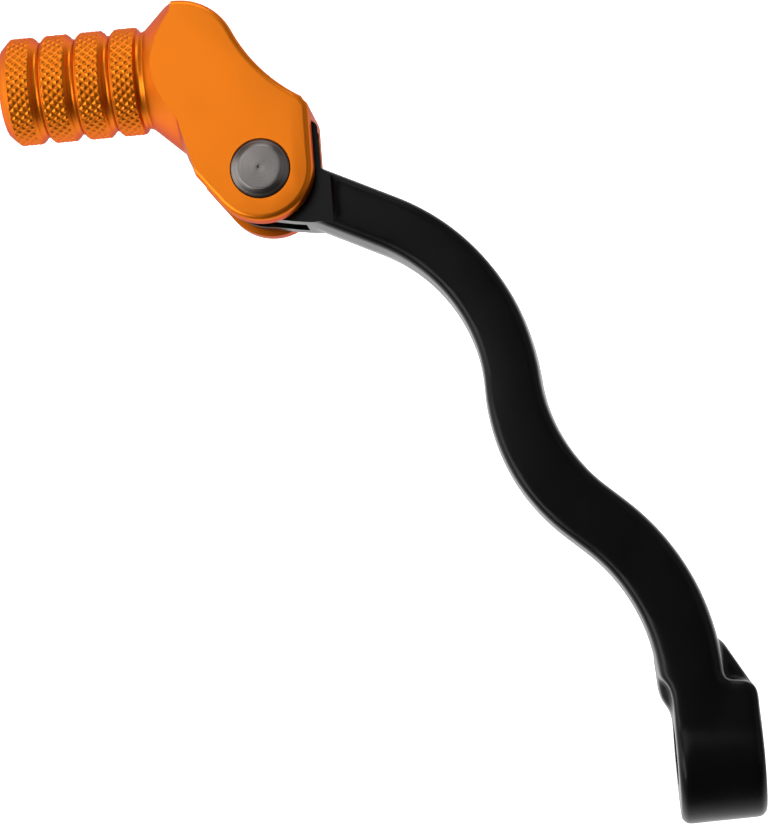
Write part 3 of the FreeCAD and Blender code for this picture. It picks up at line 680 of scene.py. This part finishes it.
def knurl_relief(angles, height):
    """How high the knurl stands, 0 to 1: blunt pyramids between crossed grooves."""
    around = angles * knurl_around / (2 * math.pi)
    first = np.mod(around + height / knurl_length, 1.0) - 0.5
    second = np.mod(around - height / knurl_length, 1.0) - 0.5
    return np.interp(np.maximum(np.abs(first), np.abs(second)), pyramid_slope, (1, 0))


def knurled_peg():
    """The turned peg with its knurl pressed into each band."""
    segments = knurl_around * knurl_steps
    angles = np.linspace(0, 2 * math.pi, segments, endpoint=False)
    rings = []
    for height, radius, knurled in peg_rows():
        reach = np.full(segments, radius)
        if knurled:
            stands = band_radius - knurl_depth * (1 - knurl_relief(angles, height))
            reach = np.minimum(stands, radius)
        ring = np.stack([reach * np.cos(angles), np.full(segments, height),
                         reach * np.sin(angles)], 1)
        rings.append(ring + np.array(peg_centre))
    return rings_piece("peg", rings)


def join_pieces(piece, other):
    """Puts the other piece's mesh into this one."""
    bpy.ops.object.select_all(action="DESELECT")
    other.select_set(True)
    piece.select_set(True)
    bpy.context.view_layer.objects.active = piece
    bpy.ops.object.join()
    return piece


finish_edges(tip)
peg = finish_edges(knurled_peg(), sharp=60)
join_pieces(tip, peg)

# Orange anodising on bead-blasted aluminium: the dye tints the metal's own reflections and
# the blasting spreads them, which leaves a satin glow that turns redder at a glancing angle.
# The beads' dents are drawn at 0.22 mm.
orange_anodised = new_material("orange anodised aluminium")
spot = add_node(orange_anodised, "TexCoord").outputs["Object"]
blast = add_node(orange_anodised, "TexNoise", {"Vector": spot}, Scale=1 / (0.22 * MM), Detail=2.0)
dye = add_node(orange_anodised, "TexNoise", {"Vector": spot}, Scale=1 / (14 * MM), Detail=3.0)
tone = add_node(orange_anodised, "MixRGB", {"Fac": dye.outputs["Fac"]},
                Color1=linear("#DC700A"), Color2=linear("#E17810"))
gloss = add_node(orange_anodised, "MapRange", {"Value": dye.outputs["Fac"]},
                 From_Min=0.3, From_Max=0.7, To_Min=0.35, To_Max=0.40)
relief = add_node(orange_anodised, "Bump", {"Height": blast.outputs["Fac"]},
                  Strength=0.12, Distance=0.015 * MM)
shader = add_node(orange_anodised, "BsdfPrincipled", {
    "Base Color": tone.outputs["Color"], "Roughness": gloss.outputs["Result"],
    "Normal": relief.outputs["Normal"]},
    Metallic=0.95, Specular_Tint=linear("#8A6654"), Coat_Weight=0.15, Coat_Roughness=0.35)
close_material(orange_anodised, shader)
tip.data.materials.clear()
tip.data.materials.append(orange_anodised)
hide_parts("shift_tip")
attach(tip, "tip")

# ---- Pivot pin and its screw -------------------------------------------------------------
# A turned stainless pin with a chamfered head, faced on the lathe so fine rings show round
# its centre. A black countersunk screw from below holds it.

head_radius = 5.9
head_flat = 4.3
head_dome = 0.08
head_top = 13.1
head_seat = 9.82
pin_radius = 4.0


def pin_profile():
    """The shank, the head with softened edges, and the lathe's small centre mark."""
    profile = [(0, -7.5), (pin_radius, -7.5), (pin_radius, head_seat), (head_radius - 0.1, head_seat),
               (head_radius, head_seat + 0.1), (head_radius, head_top - 1.12),
               (head_radius - 0.03, head_top - 1.03), (head_radius - 0.1, head_top - 0.95)]
    profile += [(head_flat + 0.14, head_top - 0.09), (head_flat + 0.05, head_top - 0.02),
                (head_flat - 0.08, head_top)]
    profile += [(radius, head_top) for radius in (3.6, 2.8, 2.0, 1.2, 0.55)]
    profile = [(radius, height - (head_dome * (radius / head_flat) ** 2 if height > head_top - 0.1
                                  else 0)) for radius, height in profile]
    profile += [(0.28, head_top - 0.05), (0, head_top - 0.28)]
    return profile


# Stainless steel faced on a lathe: a grey metal whose fine rings stretch each reflection
# into a streak that runs out from the centre.
turned_steel = new_material("faced stainless steel")
spot = add_node(turned_steel, "TexCoord").outputs["Object"]
axes = add_node(turned_steel, "SeparateXYZ", {"Vector": spot})
flat_place = add_node(turned_steel, "CombineXYZ", {
    "X": axes.outputs["X"], "Y": axes.outputs["Y"]})
distance = add_node(turned_steel, "VectorMath", {0: flat_place.outputs["Vector"]},
                    operation="LENGTH")
# The tool's feed leaves a ring every 0.12 mm, drawn at 0.4 mm so that it shows
tool_marks = add_node(turned_steel, "TexNoise", {"W": distance.outputs["Value"]},
                      noise_dimensions="1D", Scale=1 / (0.4 * MM), Detail=3.0, Roughness=0.6)
gloss = add_node(turned_steel, "MapRange", {"Value": tool_marks.outputs["Fac"]},
                 From_Min=0.3, From_Max=0.7, To_Min=0.24, To_Max=0.4)
tone = add_node(turned_steel, "MixRGB", {"Fac": tool_marks.outputs["Fac"]},
                Color1=linear("#4C4947"), Color2=linear("#938E8B"))
relief = add_node(turned_steel, "Bump", {"Height": tool_marks.outputs["Fac"]},
                  Strength=0.35, Distance=0.02 * MM)
around = add_node(turned_steel, "Tangent", direction_type="RADIAL", axis="Z")
shader = add_node(turned_steel, "BsdfPrincipled", {
    "Base Color": tone.outputs["Color"], "Roughness": gloss.outputs["Result"],
    "Normal": relief.outputs["Normal"], "Tangent": around.outputs["Tangent"]},
    Metallic=1.0, Anisotropic=0.75)
close_material(turned_steel, shader)

pin = lathe("turned_pin", pin_profile(), segments=160)
finish_edges(pin, sharp=40)
pin.location = pin_place * MM
pin.data.materials.append(turned_steel)
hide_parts("pivot_pin")
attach(pin, "tip")

# Chemically blackened steel: a dark, slightly mottled metal with an oily sheen.
black_oxide = new_material("black oxide steel")
spot = add_node(black_oxide, "TexCoord").outputs["Object"]
mottle = add_node(black_oxide, "TexNoise", {"Vector": spot}, Scale=1 / (0.8 * MM), Detail=4.0)
gloss = add_node(black_oxide, "MapRange", {"Value": mottle.outputs["Fac"]},
                 To_Min=0.3, To_Max=0.5)
tone = add_node(black_oxide, "MixRGB", {"Fac": mottle.outputs["Fac"]},
                Color1=linear("#1B1B1D"), Color2=linear("#2E2E31"))
shader = add_node(black_oxide, "BsdfPrincipled", {
    "Base Color": tone.outputs["Color"], "Roughness": gloss.outputs["Result"]}, Metallic=0.8)
close_material(black_oxide, shader)
refinish("pin_screw", black_oxide)

# ---- Clamp bolt --------------------------------------------------------------------------
# A flanged M6 hexagon bolt of zinc-plated steel, cold headed, with a rolled thread. It is
# screwed up through the boss's slit and pinches the serrations on the shaft.

bolt_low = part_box("clamp_bolt")[0].z / MM
bolt_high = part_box("clamp_bolt")[1].z / MM
flange_radius = 6.18
flange_thickness = 1.2
hexagon_width = 10.0
head_height = 5.2
thread_radius = 2.96
thread_pitch = 1.0
thread_depth = 0.35


def bolt_profile():
    """The dished head, the flange's slope, the shank and its thread's crests and roots."""
    flange_low = bolt_low + head_height
    profile = [(0, bolt_low + 0.5), (3.2, bolt_low + 0.5), (3.6, bolt_low), (4.7, bolt_low),
               (5.75, bolt_low + 0.65), (5.75, flange_low - 0.4), (5.9, flange_low),
               (flange_radius, flange_low + 0.35), (flange_radius, flange_low + flange_thickness)]
    profile += [(thread_radius, flange_low + flange_thickness)]
    height = flange_low + flange_thickness + 1.5
    while height < bolt_high - 1.2:
        profile += [(thread_radius, height), (thread_radius - thread_depth, height + 0.5)]
        height += thread_pitch
    return profile + [(thread_radius, height), (thread_radius - 0.8, bolt_high), (0, bolt_high)]


bolt = lathe("flanged_bolt", bolt_profile(), segments=96)
wrench = []
for flat in range(6):
    angle = math.radians(60 * flat)
    wrench.append((hexagon_width / math.sqrt(3) * math.cos(angle),
                   hexagon_width / math.sqrt(3) * math.sin(angle)))
flange_disc = [(7 * math.cos(a), 7 * math.sin(a)) for a in np.linspace(0, 2 * math.pi, 48)[:-1]]
wrench_block = prism("wrench block", wrench, bolt_low - 1, bolt_low + head_height + 0.3)
combine(wrench_block, prism("above flange", flange_disc, bolt_low + head_height, bolt_high + 2),
        "UNION")
combine(bolt, wrench_block, "INTERSECT")
finish_edges(bolt, sharp=25)
bolt.location = (bolt_axis[0] * MM, bolt_axis[1] * MM, 0)

# Bright zinc plating with a clear passivation: a pale grey metal, unevenly polished.
zinc = new_material("zinc plated steel")
spot = add_node(zinc, "TexCoord").outputs["Object"]
passivation = add_node(zinc, "TexNoise", {"Vector": spot}, Scale=1 / (2.5 * MM), Detail=5.0)
gloss = add_node(zinc, "MapRange", {"Value": passivation.outputs["Fac"]},
                 To_Min=0.24, To_Max=0.42)
tone = add_node(zinc, "MixRGB", {"Fac": passivation.outputs["Fac"]},
                Color1=linear("#8F8C84"), Color2=linear("#ABA9A4"))
shader = add_node(zinc, "BsdfPrincipled", {
    "Base Color": tone.outputs["Color"], "Roughness": gloss.outputs["Result"]}, Metallic=1.0)
close_material(zinc, shader)
bolt.data.materials.append(zinc)
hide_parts("clamp_bolt")
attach(bolt, "arm")

# ---- Studio ------------------------------------------------------------------------------
# A plain pale floor with a painted glow, well below the lever, five soft boxes round it, a paler
# wall of light towards the outboard side and a camera that looks down on the lever.

floor_drop = 150.0
floor_size = 6000.0
table_middle = (80.0, 60.0)
lowest = min(corner[2] for corner in cad_box)
floor = mesh_piece("floor", [
    (-floor_size, -floor_size, 0), (floor_size, -floor_size, 0), (floor_size, floor_size, 0),
    (-floor_size, floor_size, 0)], [(0, 1, 2, 3)])
floor.location = (0, 0, lowest - floor_drop * MM)
# Matt white paper with a painted glow, strongest near the lever, so that it looks evenly white there.
paper = new_material("white background paper with painted glow")
spot = add_node(paper, "TexCoord").outputs["Object"]
fibre = add_node(paper, "TexNoise", {"Vector": spot}, Scale=1 / (60 * MM), Detail=2.0)
tone = add_node(paper, "MixRGB", {"Fac": fibre.outputs["Fac"]},
                Color1=linear("#F7F7F7"), Color2=linear("#FAFAFA"))
# Painted glow: the floor's own emission, from 0.8 near the lever down to 0.4 further out
painted_glow_near = 230
painted_glow_far = 700
away = add_node(paper, "VectorMath", {0: spot}, operation="DISTANCE")
away.inputs[1].default_value = (table_middle[0] * MM, table_middle[1] * MM, 0)
painted_floor_glow = add_node(paper, "MapRange", {"Value": away.outputs["Value"]},
                      interpolation_type="SMOOTHSTEP", From_Min=painted_glow_near * MM, From_Max=painted_glow_far * MM,
                      To_Min=0.8, To_Max=0.4)
shader = add_node(paper, "BsdfPrincipled", {
    "Base Color": tone.outputs["Color"], "Emission Strength": painted_floor_glow.outputs["Result"]},
    Roughness=0.9, Emission_Color=linear("#FFFFFF"))
close_material(paper, shader)
floor.data.materials.append(paper)


def soft_light(name, place, aim, width, height, power, turn=0):
    """A rectangular soft box that faces a point and is turned about that line, in degrees."""
    lamp = bpy.data.lights.new(name, "AREA")
    lamp.shape = "RECTANGLE"
    lamp.size = width * MM
    lamp.size_y = height * MM
    lamp.energy = power
    box = bpy.data.objects.new(name, lamp)
    box.location = Vector(place) * MM
    look = (Vector(aim) - Vector(place)).normalized()
    facing = look.to_track_quat("-Z", "Y") @ Quaternion((0, 0, 1), math.radians(turn))
    box.rotation_euler = facing.to_euler()
    box.visible_camera = False
    bpy.context.scene.collection.objects.link(box)
    return box


middle = (73, 61, 5)
soft_light("overhead soft box", (450, 370, 1100), middle, 690, 690, 2.5, turn=20)
soft_light("outboard soft box", (200, 1100, 300), middle, 1100, 600, 3.6)
soft_light("high outboard soft box", (-330, 900, 850), middle, 800, 600, 7.0)
soft_light("inboard soft box", (300, -1000, 800), middle, 1600, 1000, 2.0)
soft_light("front soft box", (1050, 100, 500), middle, 700, 700, 4.0)

# The studio's walls are brightest at the horizon and towards the outboard side
outboard_way = (0.5, 0.87, 0)
world = bpy.data.worlds.new("studio")
bpy.context.scene.world = world
world.use_nodes = True
direction = add_node(world, "TexCoord").outputs["Generated"]
height = add_node(world, "SeparateXYZ", {"Vector": direction}).outputs["Z"]
wall_glow = add_node(world, "MapRange", {"Value": height}, interpolation_type="SMOOTHSTEP",
                     From_Min=0.0, From_Max=0.45, To_Min=1.0, To_Max=0.5)
towards_light = add_node(world, "VectorMath", {0: direction}, operation="DOT_PRODUCT")
towards_light.inputs[1].default_value = outboard_way
side_glow = add_node(world, "MapRange", {"Value": towards_light.outputs["Value"]},
                     From_Min=-0.8, From_Max=0.9, To_Min=0.12, To_Max=0.45)
glow = add_node(world, "Math", {0: wall_glow.outputs["Result"], 1: side_glow.outputs["Result"]},
                operation="MULTIPLY")
world.node_tree.nodes["Background"].inputs["Color"].default_value = linear("#FFFFFF")
world.node_tree.links.new(glow.outputs["Value"],
                          world.node_tree.nodes["Background"].inputs["Strength"])

camera_place = (17.87, 21.91, 527.81)
camera_turns = (5.668, 4.759, -94.403)
camera_data = bpy.data.cameras.new("camera")
camera_data.sensor_width = 36.0
camera_data.lens = 113.45
camera_data.clip_start = 0.05
camera_data.clip_end = 50.0
camera = bpy.data.objects.new("camera", camera_data)
camera.location = Vector(camera_place) * MM
camera.rotation_euler = Euler([math.radians(turn) for turn in camera_turns])
bpy.context.scene.collection.objects.link(camera)
bpy.context.scene.camera = camera
bpy.context.scene.view_settings.view_transform = "Standard"
